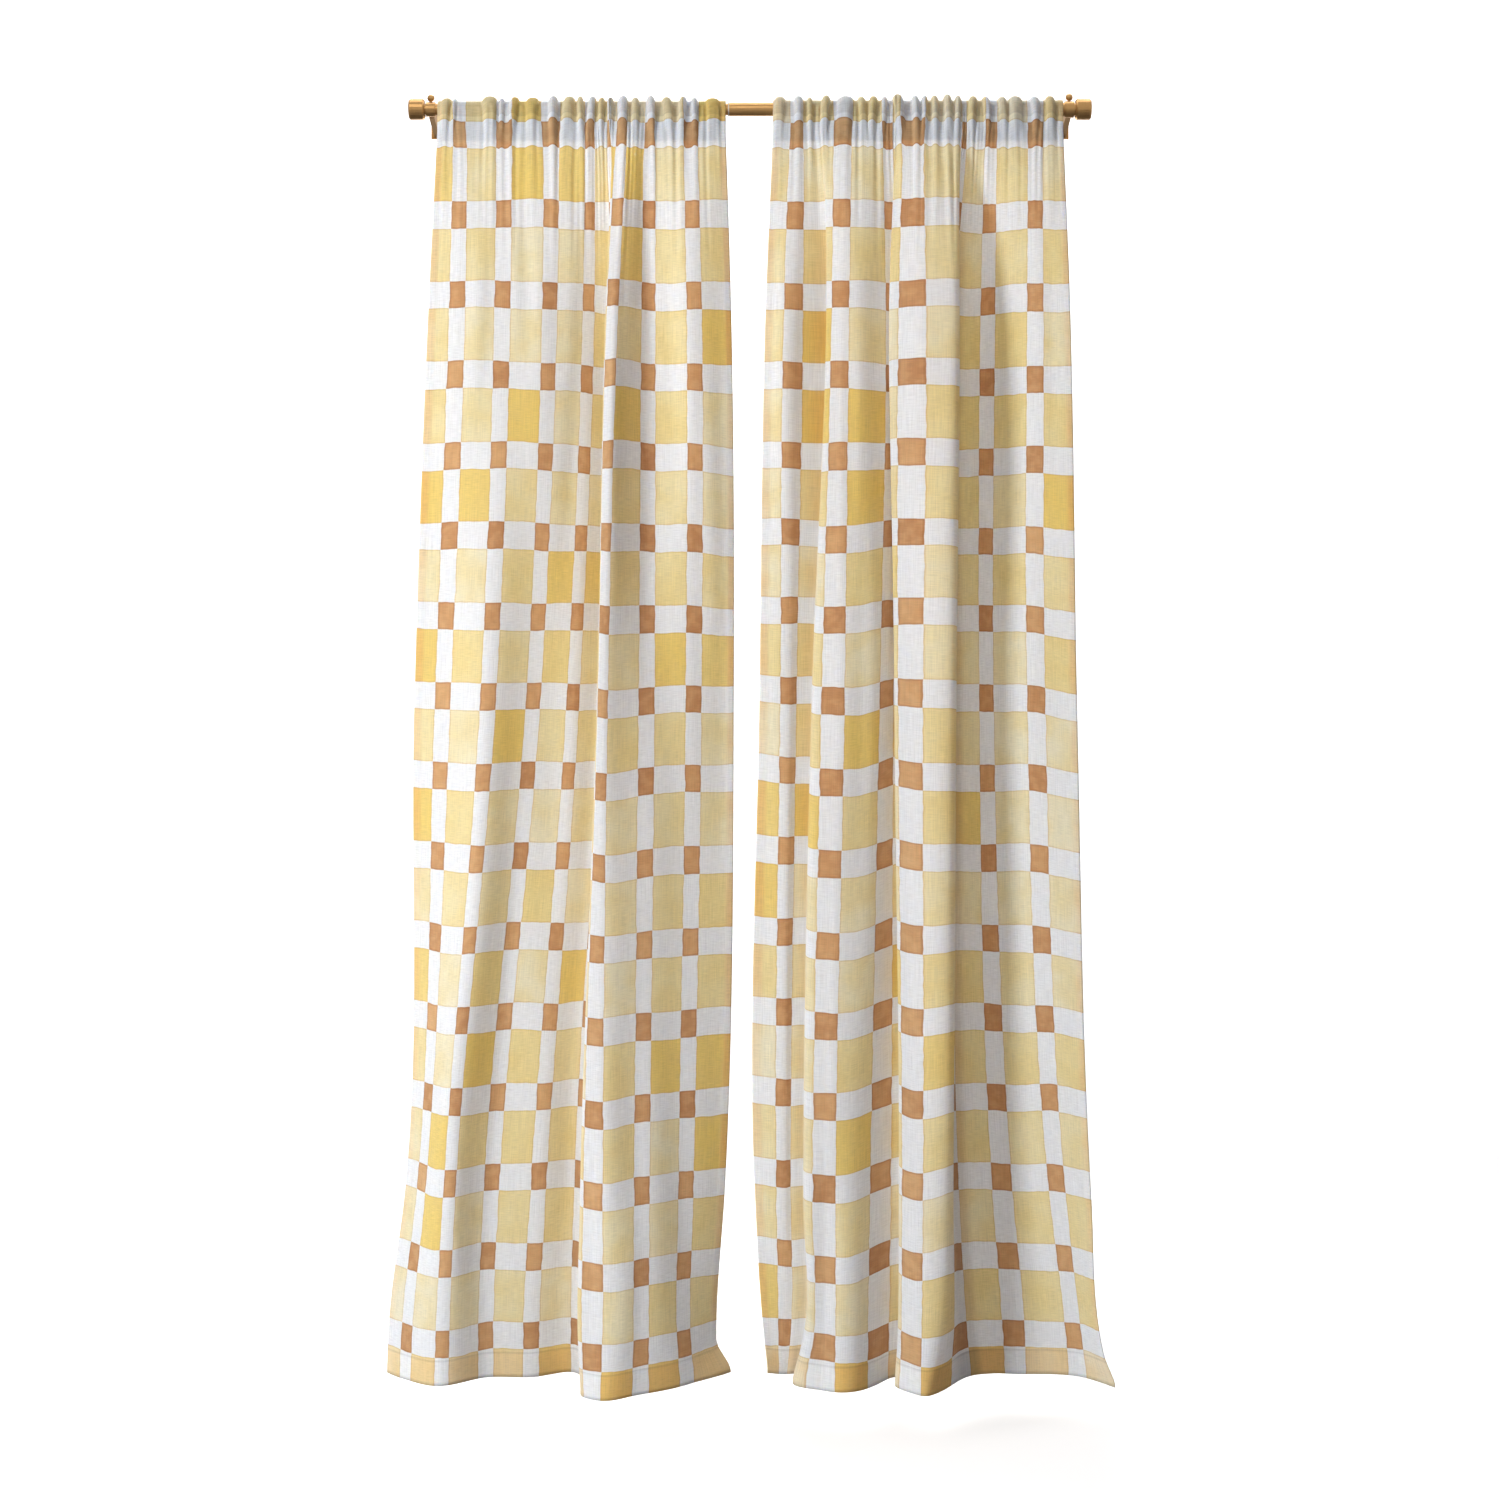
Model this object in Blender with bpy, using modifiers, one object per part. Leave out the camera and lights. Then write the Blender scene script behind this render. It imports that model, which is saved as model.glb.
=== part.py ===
"""A pair of sheer rod-pocket curtain panels, gathered on a telescoping rod.

The part's frame is in metres with +Z up. X runs along the rod and +Y points at the wall, so the
curtain is seen from -Y. The origin is the middle of the back face of the left bracket's wall plate.
All driving dimensions below are in millimetres.
"""
import math

import bmesh
import bpy
import numpy as np

MM = 0.001
GAP = 0.3  # between hard pieces that touch

# Rod, brackets and end caps
ROD_FROM_WALL = 85.0
BRACKET_FROM_MIDDLE = 526.5
INNER_TUBE_RADIUS = 9.5
OUTER_TUBE_RADIUS = 11.0
TUBE_WALL = 1.2
OUTER_TUBE_START = -34.0  # from the rod's middle
TUBE_OVERLAP = 160.0  # how far the thinner tube runs inside the thicker one
COLLAR_WIDTH = 2.0
COLLAR_STAND = 0.5
RING_WIDTH = 15.0
RING_WALL = 2.0
CAP_RADIUS = 16.8
CAP_LENGTH = 25.5
CAP_CHAMFER = 2.2
NECK_LENGTH = 2.5
SPIGOT_LENGTH = 14.0
PLATE_WIDTH = 20.0
PLATE_HEIGHT = 56.0
PLATE_THICKNESS = 3.0
PLATE_HOLE_RADIUS = 2.3
PLATE_HOLE_HEIGHT = 19.0
ARM_WIDTH = 9.0
ARM_AT_RING = (-11.0, 1.0)  # lowest and highest point of the arm's section
ARM_AT_PLATE = (-26.0, 6.0)
SCREW_BALL_RADIUS = 6.0
SCREW_SHANK_RADIUS = 2.2
SCREW_FLAT = 4.6  # the ball's cut-off top, above its centre
SCREW_NECK = 1.6  # from the ring's top to the ball

# Cloth
CLOTH_THICKNESS = 1.5
HEM_THICKNESS = 2.4
HEM_HEIGHT = 42.0
SIDE_HEM_WIDTH = 12.0
CLOTH_LENGTH = 2103.0  # from the rod's axis to the bottom edge
POCKET_LENGTH = 56.0  # from the rod's axis to the pocket's seam
POCKET_CLEARANCE = 3.5  # from the tube to the middle of the cloth
SEAM_STEP = 3.6  # from the front layer to the turned-back layer at the seam
DROP_START = 500.0  # where a fold begins to hang lower than its neighbours
DROP_FULL = 1100.0
PINCH_FADE = 60.0  # how far below the rod's axis the pinches run out
RIPPLE_SHARE = 0.28  # of each pinch's height, left below the pocket as a ripple
RIPPLE_FADE = (50.0, 300.0)
CROSSWISE_STEPS = 72
TURN_WEIGHT = 0.5  # how much the mesh's threads crowd where the cloth turns

# Heights of the tables' columns, below the rod's axis
STATIONS = (40.0, 300.0, 970.0, 1800.0, 2020.0, 2095.0)

# One row for each vertical thread that a fold or a column of squares follows. "flat" is its place
# on the flat cloth, from the left edge. The rows of "across" are from the rod's middle and those
# of "forward" are from the rod's axis towards the room, at the heights in STATIONS. "drop" is how
# much lower the thread hangs at the bottom.
LEFT_THREADS = (
    dict(name="left edge", flat=0, drop=-4,
         across=(-514, -529, -557, -577, -604, -607), forward=(15, 0, -26, -58, -60, -60)),
    dict(name="first column", flat=50, drop=0,
         across=(-476, -481, -508, -547, -570, -573), forward=(16, 12, -10, -26, -28, -30)),
    dict(name="side crest", flat=132, drop=0,
         across=(-404, -407, -430, -495, -506, -508), forward=(16, 12, 18, 20, 16, 14)),
    dict(name="third column", flat=214, drop=-6,
         across=(-326, -329, -358, -429, -438, -438), forward=(16, 8, -12, -14, -18, -20)),
    dict(name="valley", flat=296, drop=-3,
         across=(-262, -267, -294, -352, -364, -365), forward=(15, -24, -46, -34, -42, -44)),
    dict(name="fifth column", flat=378, drop=-3,
         across=(-232, -212, -234, -287, -294, -294), forward=(15, -22, -20, -30, -40, -42)),
    dict(name="turn behind", flat=405, drop=2,
         across=(-226, -204, -218, -272, -280, -281), forward=(15, -2, 2, -4, -10, -12)),
    dict(name="front edge", flat=441, drop=10,
         across=(-217, -234, -250, -277, -279, -275), forward=(17, 24, 36, 38, 40, 38)),
    dict(name="front crest", flat=460, drop=12,
         across=(-206, -222, -241, -255, -256, -257), forward=(20, 33, 43, 50, 52, 52)),
    dict(name="seventh column", flat=542, drop=6,
         across=(-166, -168, -170, -177, -178, -179), forward=(16, -4, 14, 36, 42, 42)),
    dict(name="eighth column", flat=624, drop=-2,
         across=(-98, -92, -93, -106, -109, -104), forward=(18, 12, -8, 6, 12, 14)),
    dict(name="right edge", flat=697, drop=-13,
         across=(-40, -32, -27, -42, -54, -32), forward=(15, -8, -28, -26, -32, -20)),
)
RIGHT_THREADS = (
    dict(name="left edge", flat=0, drop=-10,
         across=(38, 27, 16, 8, 21, 29), forward=(15, -4, -16, -34, -34, -32)),
    dict(name="first column", flat=50, drop=-6,
         across=(78, 72, 65, 58, 59, 56), forward=(16, 4, -20, -40, -50, -54)),
    dict(name="first valley", flat=84, drop=-6,
         across=(106, 110, 102, 89, 85, 67), forward=(15, -8, -14, -22, -26, -34)),
    dict(name="second fold's edge", flat=114, drop=0,
         across=(122, 129, 105, 91, 94, 72), forward=(17, 14, 16, 14, 12, -2)),
    dict(name="second column", flat=146, drop=4,
         across=(152, 149, 139, 124, 124, 121), forward=(18, 22, 24, 26, 26, 26)),
    dict(name="second crest", flat=184, drop=4,
         across=(185, 183, 175, 160, 160, 158), forward=(17, 20, 20, 28, 34, 38)),
    dict(name="third column", flat=242, drop=0,
         across=(226, 232, 227, 214, 210, 209), forward=(15, -14, -12, -4, 0, 4)),
    dict(name="second valley", flat=261, drop=-4,
         across=(232, 241, 240, 236, 233, 231), forward=(15, -33, -32, -22, -22, -20)),
    dict(name="beyond the valley", flat=277, drop=-6,
         across=(238, 248, 249, 252, 250, 246), forward=(15, -27, -29, -22, -24, -22)),
    dict(name="third fold's edge", flat=303, drop=0,
         across=(246, 236, 241, 250, 248, 243), forward=(16, -4, -4, 6, 6, 8)),
    dict(name="third crest", flat=338, drop=4,
         across=(266, 266, 263, 266, 265, 265), forward=(20, 24, 27, 34, 38, 42)),
    dict(name="third fold's end", flat=412, drop=2,
         across=(341, 344, 338, 329, 320, 312), forward=(18, 14, 20, 24, 24, 24)),
    dict(name="behind its end", flat=446, drop=-4,
         across=(354, 349, 342, 334, 334, 334), forward=(15, -22, -17, -14, -20, -26)),
    dict(name="recess", flat=490, drop=-4,
         across=(375, 366, 363, 377, 384, 393), forward=(15, -50, -48, -46, -48, -50)),
    dict(name="sixth column", flat=530, drop=-4,
         across=(395, 397, 394, 422, 440, 443), forward=(15, -46, -46, -48, -50, -50)),
    dict(name="seventh column", flat=626, drop=-4,
         across=(469, 472, 474, 511, 538, 546), forward=(17, -8, -14, -22, -30, -34)),
    dict(name="right edge", flat=699, drop=2,
         across=(515, 527, 539, 562, 577, 592), forward=(15, 4, 4, 10, 4, 14)),
)

# One row for each pinch of the gathered pocket: its middle along the rod, its width and how far
# it stands off the rod.
LEFT_PINCHES = (
    dict(at=-499, width=18, height=5), dict(at=-486, width=8, height=4),
    dict(at=-429, width=30, height=8), dict(at=-409, width=10, height=5),
    dict(at=-387, width=16, height=7), dict(at=-358, width=24, height=6),
    dict(at=-324, width=18, height=9), dict(at=-297, width=22, height=8),
    dict(at=-280, width=12, height=8), dict(at=-259, width=14, height=8),
    dict(at=-244, width=12, height=6), dict(at=-230, width=12, height=6),
    dict(at=-209, width=18, height=9), dict(at=-189, width=14, height=6),
    dict(at=-164, width=16, height=9), dict(at=-138, width=18, height=7),
    dict(at=-110, width=14, height=8), dict(at=-92, width=12, height=6),
    dict(at=-62, width=26, height=5),
)
RIGHT_PINCHES = (
    dict(at=50, width=20, height=6), dict(at=80, width=18, height=7),
    dict(at=98, width=10, height=5), dict(at=126, width=16, height=8),
    dict(at=158, width=32, height=7), dict(at=183, width=14, height=6),
    dict(at=204, width=16, height=7), dict(at=222, width=12, height=6),
    dict(at=243, width=20, height=10), dict(at=272, width=14, height=8),
    dict(at=288, width=12, height=8), dict(at=304, width=14, height=8),
    dict(at=325, width=16, height=10), dict(at=343, width=12, height=8),
    dict(at=368, width=16, height=7), dict(at=388, width=14, height=6),
    dict(at=415, width=16, height=6), dict(at=437, width=26, height=7),
    dict(at=468, width=18, height=6), dict(at=494, width=18, height=7),
)

# Rows of the cloth's mesh
BACK_HEIGHTS = (-POCKET_LENGTH, -30.0, -8.0)
LOOP_ANGLES = (150.0, 120.0, 90.0, 60.0, 30.0)
FRONT_DEPTHS = (0.0, 16.0, 40.0, 90.0, 170.0, 320.0, 560.0, 820.0, 1100.0, 1400.0, 1700.0, 1900.0)
HEM_DEPTHS = (CLOTH_LENGTH - HEM_HEIGHT - 2.0, CLOTH_LENGTH - HEM_HEIGHT + 2.0, CLOTH_LENGTH)


def clear_scene():
    for thing in list(bpy.data.objects):
        bpy.data.objects.remove(thing, do_unlink=True)


def collection(name):
    group = bpy.data.collections.new(name)
    bpy.context.scene.collection.children.link(group)
    return group


def material(name, colour, roughness, metallic=0.0):
    finish = bpy.data.materials.new(name)
    finish.use_nodes = True
    shader = finish.node_tree.nodes["Principled BSDF"]
    shader.inputs["Base Color"].default_value = (*colour, 1.0)
    shader.inputs["Roughness"].default_value = roughness
    shader.inputs["Metallic"].default_value = metallic
    return finish


def place(across, forward, up):
    """A point of the part's frame, from millimetres off the rod's middle and axis."""
    return ((across + BRACKET_FROM_MIDDLE) * MM, -(ROD_FROM_WALL + forward) * MM, up * MM)


def smooth_curve(knots, values, at):
    """Cubic through the values, whose slope at each knot is that of its two neighbours."""
    knots = np.asarray(knots, float)
    values = np.asarray(values, float)
    slopes = np.gradient(values, knots, axis=0)
    at = np.clip(np.asarray(at, float), knots[0], knots[-1])
    span = np.clip(np.searchsorted(knots, at, side="right") - 1, 0, len(knots) - 2)
    length = knots[span + 1] - knots[span]
    t = (at - knots[span]) / length
    shape = (-1,) + (1,) * (values.ndim - 1)
    t, length = t.reshape(shape), length.reshape(shape)
    start, end = values[span], values[span + 1]
    return (
        (2 * t**3 - 3 * t**2 + 1) * start
        + (t**3 - 2 * t**2 + t) * length * slopes[span]
        + (3 * t**2 - 2 * t**3) * end
        + (t**3 - t**2) * length * slopes[span + 1]
    )


def ramp(value, start, end):
    t = np.clip((value - start) / (end - start), 0.0, 1.0)
    return t * t * (3 - 2 * t)


def pinch_height(pinches, across):
    total = np.zeros_like(across)
    for pinch in pinches:
        t = np.clip((across - pinch["at"]) / (0.5 * pinch["width"]), -1.0, 1.0)
        total = np.maximum(total, pinch["height"] * np.cos(0.5 * math.pi * t) ** 2)
    return total


class Drape:
    """The cloth's middle surface, read from a table of threads and a table of pinches."""

    def __init__(self, threads, pinches, tube_radius):
        self.flat = np.array([row["flat"] for row in threads], float)
        self.across_table = np.array([row["across"] for row in threads], float).T
        self.forward_table = np.array([row["forward"] for row in threads], float).T
        self.drop_table = np.array([row["drop"] for row in threads], float)
        self.pinches = pinches
        self.loop_radius = tube_radius + POCKET_CLEARANCE
        self.width = self.flat[-1]

    def section(self, flat, depth):
        """Across and forward of the threads at one depth below the rod's axis."""
        across = smooth_curve(self.flat, smooth_curve(STATIONS, self.across_table, [depth])[0], flat)
        forward = smooth_curve(self.flat, smooth_curve(STATIONS, self.forward_table, [depth])[0], flat)
        hugging = 1.0 - ramp(depth, 0.0, STATIONS[0])
        forward = forward + hugging * (self.loop_radius - forward)
        pinch = (1.0 - RIPPLE_SHARE) * (1.0 - ramp(depth, 0.0, PINCH_FADE))
        ripple = RIPPLE_SHARE * (1.0 - ramp(depth, *RIPPLE_FADE))
        return across, forward + pinch_height(self.pinches, across) * (pinch + ripple)

    def front_row(self, flat, depth):
        across, forward = self.section(flat, depth)
        drop = smooth_curve(self.flat, self.drop_table, flat) * ramp(depth, DROP_START, DROP_FULL)
        return [place(a, f, -depth - d) for a, f, d in zip(across, forward, drop)]

    def loop_row(self, flat, angle):
        across, _ = self.section(flat, 0.0)
        radius = self.loop_radius + pinch_height(self.pinches, across)
        turn = math.radians(angle)
        return [place(a, r * math.cos(turn), r * math.sin(turn)) for a, r in zip(across, radius)]

    def back_row(self, flat, height):
        """The turned-back layer, which runs in to the front layer at the pocket's seam."""
        across, front = self.section(flat, -height)
        drawn_in = ramp(-height, 0.0, POCKET_LENGTH)
        behind = -(self.loop_radius + 0.7 * pinch_height(self.pinches, across))
        forward = behind + drawn_in * (front - SEAM_STEP - behind)
        return [place(a, f, height) for a, f in zip(across, forward)]


def crosswise_threads(drape):
    """Threads for the mesh, closer together where the pocket is gathered or the cloth turns."""
    fine = np.linspace(0.0, drape.width, 1400)
    spread = np.zeros_like(fine)
    for depth in (0.0, STATIONS[1], STATIONS[-1]):
        across, forward = drape.section(fine, depth)
        step = np.hypot(np.gradient(across), np.gradient(forward))
        turn = np.abs(np.gradient(np.unwrap(np.arctan2(np.gradient(forward), np.gradient(across)))))
        spread += step / step.sum() + TURN_WEIGHT * turn / turn.sum()
    run = np.concatenate(([0.0], np.cumsum(0.5 * (spread[1:] + spread[:-1]))))
    return np.interp(np.linspace(0.0, run[-1], CROSSWISE_STEPS + 1), run, fine)


def panel(name, threads, pinches, tube_radius, finish, group):
    """One cloth: an open sheet with Solidify, thicker along its hems."""
    drape = Drape(threads, pinches, tube_radius)
    flat = crosswise_threads(drape)
    rows = [drape.back_row(flat, height) for height in BACK_HEIGHTS]
    rows += [drape.loop_row(flat, angle) for angle in LOOP_ANGLES]
    rows += [drape.front_row(flat, depth) for depth in FRONT_DEPTHS + HEM_DEPTHS]

    shape = bmesh.new()
    grid = [[shape.verts.new(point) for point in row] for row in rows]
    for upper, lower in zip(grid, grid[1:]):
        for j in range(len(flat) - 1):
            shape.faces.new((upper[j], upper[j + 1], lower[j + 1], lower[j]))
    mesh = bpy.data.meshes.new(name)
    shape.to_mesh(mesh)
    shape.free()
    mesh.shade_smooth()
    cloth = bpy.data.objects.new(name, mesh)
    cloth.data.materials.append(finish)
    group.objects.link(cloth)

    hems = cloth.vertex_groups.new(name="thickness")
    single = CLOTH_THICKNESS / HEM_THICKNESS
    hem_rows = len(rows) - 2
    for i in range(len(rows)):
        for j, place_on_cloth in enumerate(flat):
            side = min(place_on_cloth, drape.width - place_on_cloth) < SIDE_HEM_WIDTH
            doubled = i >= hem_rows or side
            hems.add([i * len(flat) + j], 1.0 if doubled else single, "REPLACE")
    skin = cloth.modifiers.new("thickness", "SOLIDIFY")
    skin.thickness = HEM_THICKNESS * MM
    skin.offset = 0.0
    skin.vertex_group = hems.name
    return cloth


def turned(name, profile, finish, group, start, direction=1.0, steps=24):
    """A body turned about the rod's axis. The profile is closed: along the axis, radius."""
    shape = bmesh.new()
    outward = profile[::-1] if direction > 0 else profile
    verts = [shape.verts.new((direction * along * MM, 0.0, radius * MM)) for along, radius in outward]
    for a, b in zip(verts, verts[1:] + verts[:1]):
        if not (a.co.z < 1e-6 and b.co.z < 1e-6):
            shape.edges.new((a, b))
    mesh = bpy.data.meshes.new(name)
    shape.to_mesh(mesh)
    shape.free()
    body = bpy.data.objects.new(name, mesh)
    body.location = place(start, 0.0, 0.0)
    body.data.materials.append(finish)
    group.objects.link(body)
    spin = body.modifiers.new("spin", "SCREW")
    spin.axis = "X"
    spin.steps = spin.render_steps = steps
    spin.use_merge_vertices = True
    spin.merge_threshold = 0.00001
    spin.use_smooth_shade = True
    return body


def tube(name, start, end, radius, wall, finish, group, steps=24):
    length = end - start
    profile = ((0.0, radius), (length, radius), (length, radius - wall), (0.0, radius - wall))
    return turned(name, profile, finish, group, start, steps=steps)


def finial(name, side, tube_radius, tube_end, finish, group):
    """An end cap with chamfered rims, its neck, and a spigot that plugs the tube."""
    spigot = tube_radius - TUBE_WALL - GAP
    cap_start = NECK_LENGTH + GAP
    profile = (
        (-SPIGOT_LENGTH, 0.0),
        (-SPIGOT_LENGTH, spigot),
        (GAP, spigot),
        (GAP, tube_radius - 1.0),
        (cap_start, tube_radius - 1.0),
        (cap_start, CAP_RADIUS - CAP_CHAMFER),
        (cap_start + CAP_CHAMFER, CAP_RADIUS),
        (cap_start + CAP_LENGTH - CAP_CHAMFER, CAP_RADIUS),
        (cap_start + CAP_LENGTH, CAP_RADIUS - CAP_CHAMFER),
        (cap_start + CAP_LENGTH, 0.0),
    )
    return turned(name, profile, finish, group, tube_end, direction=side)


def box(shape, low, high):
    """Adds a box between two corners to a bmesh, in metres."""
    centre = [(a + b) / 2 for a, b in zip(low, high)]
    made = bmesh.ops.create_cube(shape, size=1.0)["verts"]
    for vert in made:
        vert.co = [c + v * (b - a) for c, v, a, b in zip(centre, vert.co, low, high)]
    return made


def cylinder(shape, middle, radius, length, axis, segments=24):
    made = bmesh.ops.create_cone(
        shape, cap_ends=True, segments=segments, radius1=radius, radius2=radius, depth=length
    )["verts"]
    for vert in made:
        x, y, z = vert.co
        turned_point = {"X": (z, y, -x), "Y": (x, z, -y), "Z": (x, y, z)}[axis]
        vert.co = [m + t for m, t in zip(middle, turned_point)]
    return made


def solid(name, shape, group, finish=None):
    mesh = bpy.data.meshes.new(name)
    shape.to_mesh(mesh)
    shape.free()
    body = bpy.data.objects.new(name, mesh)
    if finish:
        mesh.materials.append(finish)
    group.objects.link(body)
    return body


def cut_or_join(body, other, operation):
    step = body.modifiers.new(operation.lower(), "BOOLEAN")
    step.operation = operation
    step.object = other
    other.hide_render = True
    other.display_type = "WIRE"


def bracket(side_name, side, tube_radius, finish, group, cutters):
    """Wall plate, sloping arm and ring, in one piece."""
    middle = side * BRACKET_FROM_MIDDLE
    plate_face = -ROD_FROM_WALL + PLATE_THICKNESS

    shape = bmesh.new()
    box(
        shape,
        place(middle - PLATE_WIDTH / 2, plate_face, -PLATE_HEIGHT / 2),
        place(middle + PLATE_WIDTH / 2, -ROD_FROM_WALL, PLATE_HEIGHT / 2),
    )
    plate = solid(f"{side_name}_bracket", shape, group, finish)

    shape = bmesh.new()
    ring_inside = tube_radius + GAP
    reach = -ring_inside - 0.5 * RING_WALL
    arm = box(
        shape,
        place(middle - ARM_WIDTH / 2, reach, 0.0),
        place(middle + ARM_WIDTH / 2, plate_face - 1.0, 1.0),
    )
    at_ring = place(0.0, reach, 0.0)[1]
    for vert in arm:
        low, high = ARM_AT_RING if abs(vert.co.y - at_ring) < 1e-6 else ARM_AT_PLATE
        vert.co.z = (low if vert.co.z < 0.5 * MM else high) * MM
    arm_body = solid(f"{side_name}_arm", shape, cutters)

    shape = bmesh.new()
    cylinder(shape, place(middle, 0.0, 0.0), (ring_inside + RING_WALL) * MM, RING_WIDTH * MM, "X", 40)
    ring_body = solid(f"{side_name}_ring", shape, cutters)

    shape = bmesh.new()
    cylinder(shape, place(middle, 0.0, 0.0), ring_inside * MM, 2 * RING_WIDTH * MM, "X", 40)
    bore = solid(f"{side_name}_bore", shape, cutters)

    shape = bmesh.new()
    cylinder(
        shape, place(middle, 0.0, ring_inside), (SCREW_SHANK_RADIUS + GAP) * MM, 12 * MM, "Z", 16
    )
    for height in (-PLATE_HOLE_HEIGHT, PLATE_HOLE_HEIGHT):
        cylinder(
            shape,
            place(middle, -ROD_FROM_WALL, height),
            PLATE_HOLE_RADIUS * MM,
            4 * PLATE_THICKNESS * MM,
            "Y",
            16,
        )
    holes = solid(f"{side_name}_holes", shape, cutters)

    cut_or_join(plate, arm_body, "UNION")
    cut_or_join(plate, ring_body, "UNION")
    cut_or_join(plate, bore, "DIFFERENCE")
    cut_or_join(plate, holes, "DIFFERENCE")
    return plate


def thumb_screw(side_name, side, tube_radius, finish, group):
    """A shank through the ring, and a ball head with a flat top."""
    ring_top = tube_radius + GAP + RING_WALL
    ball_middle = ring_top + SCREW_NECK + SCREW_BALL_RADIUS * 0.86
    first = math.asin(SCREW_SHANK_RADIUS / SCREW_BALL_RADIUS)
    last = math.acos(SCREW_FLAT / SCREW_BALL_RADIUS)
    profile = [(0.0, tube_radius + GAP), (SCREW_SHANK_RADIUS, tube_radius + GAP)]
    for i in range(9):
        turn = math.pi - first + (last - math.pi + first) * i / 8
        profile.append(
            (SCREW_BALL_RADIUS * math.sin(turn), ball_middle + SCREW_BALL_RADIUS * math.cos(turn))
        )
    profile.append((0.0, ball_middle + SCREW_FLAT))
    shape = bmesh.new()
    verts = [shape.verts.new((radius * MM, 0.0, up * MM)) for radius, up in reversed(profile)]
    for a, b in zip(verts, verts[1:]):
        shape.edges.new((a, b))
    mesh = bpy.data.meshes.new(f"{side_name}_thumb_screw")
    shape.to_mesh(mesh)
    shape.free()
    body = bpy.data.objects.new(mesh.name, mesh)
    body.location = place(side * BRACKET_FROM_MIDDLE, 0.0, 0.0)
    mesh.materials.append(finish)
    group.objects.link(body)
    spin = body.modifiers.new("spin", "SCREW")
    spin.steps = spin.render_steps = 16
    spin.use_merge_vertices = True
    spin.merge_threshold = 0.00001
    spin.use_smooth_shade = True
    return body


def main():
    clear_scene()
    group = collection("sheer curtain pair on a rod")
    cutters = collection("cutters")
    sheer = material("sheer cloth", (0.86, 0.80, 0.66), 0.9)
    brass = material("brushed brass", (0.62, 0.42, 0.24), 0.32, 1.0)
    pale = material("pale collar", (0.80, 0.74, 0.66), 0.5)

    panel("left_panel", LEFT_THREADS, LEFT_PINCHES, INNER_TUBE_RADIUS, sheer, group)
    panel("right_panel", RIGHT_THREADS, RIGHT_PINCHES, OUTER_TUBE_RADIUS, sheer, group)

    rod_end = BRACKET_FROM_MIDDLE + RING_WIDTH / 2
    inner_end = OUTER_TUBE_START + TUBE_OVERLAP
    tube("inner_tube", -rod_end, inner_end, INNER_TUBE_RADIUS, TUBE_WALL, brass, group)
    tube("outer_tube", OUTER_TUBE_START, rod_end, OUTER_TUBE_RADIUS, TUBE_WALL, brass, group)
    collar_end = OUTER_TUBE_START - GAP
    collar_radius = OUTER_TUBE_RADIUS + COLLAR_STAND
    collar_wall = collar_radius - INNER_TUBE_RADIUS - GAP
    tube("tube_collar", collar_end - COLLAR_WIDTH, collar_end, collar_radius, collar_wall, pale, group)

    for side_name, side, radius in (
        ("left", -1.0, INNER_TUBE_RADIUS),
        ("right", 1.0, OUTER_TUBE_RADIUS),
    ):
        finial(f"{side_name}_finial", side, radius, side * rod_end, brass, group)
        bracket(side_name, side, radius, brass, group, cutters)
        thumb_screw(side_name, side, radius, brass, group)


main()
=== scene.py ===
import math

import bpy
import numpy as np
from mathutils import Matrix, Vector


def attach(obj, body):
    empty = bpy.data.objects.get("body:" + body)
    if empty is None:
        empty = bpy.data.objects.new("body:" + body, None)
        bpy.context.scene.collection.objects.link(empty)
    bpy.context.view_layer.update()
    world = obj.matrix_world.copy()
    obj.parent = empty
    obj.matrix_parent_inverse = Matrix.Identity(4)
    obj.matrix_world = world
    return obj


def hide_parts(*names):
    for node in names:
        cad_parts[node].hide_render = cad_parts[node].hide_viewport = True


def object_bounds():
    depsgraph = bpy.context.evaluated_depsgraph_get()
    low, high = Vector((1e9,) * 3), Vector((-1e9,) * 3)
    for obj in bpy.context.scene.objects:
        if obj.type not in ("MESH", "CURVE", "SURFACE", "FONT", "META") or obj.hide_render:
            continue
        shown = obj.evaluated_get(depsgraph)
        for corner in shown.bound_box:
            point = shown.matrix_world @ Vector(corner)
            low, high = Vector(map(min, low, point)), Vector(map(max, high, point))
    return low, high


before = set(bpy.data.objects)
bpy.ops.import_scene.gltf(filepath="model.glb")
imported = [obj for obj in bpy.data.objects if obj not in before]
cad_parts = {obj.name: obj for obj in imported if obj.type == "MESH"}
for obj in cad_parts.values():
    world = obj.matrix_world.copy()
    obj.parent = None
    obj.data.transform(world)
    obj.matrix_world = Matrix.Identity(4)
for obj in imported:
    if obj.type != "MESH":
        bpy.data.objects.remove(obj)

cad_low, cad_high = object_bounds()

MM = 0.001

# Places, in millimetres, from the rod's middle and axis
ROD_FROM_WALL = 85.0
BRACKET_FROM_MIDDLE = 526.5
INNER_TUBE_RADIUS = 9.5
OUTER_TUBE_RADIUS = 11.0

# Cloth, in millimetres
CLOTH_LENGTH = 2103.0  # from the rod's axis to the bottom edge
HEM_HEIGHT = 42.0
SIDE_HEM_WIDTH = 12.0
POCKET_LENGTH = 56.0
POCKET_CLEARANCE = 3.5
SEAM_STEP = 1.3  # from the front layer to the turned-back layer at the seam
SHEET_THICKNESS = 0.5
HEM_THICKNESS = 1.3
HEM_BLEND = 1.5  # half the width over which a hem reaches its thickness
LEFT_FLARE = 24.0  # how far the right corner of a hem turns outwards
RIGHT_FLARE = 8.0
FLARE_WIDTH = 70.0

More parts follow.
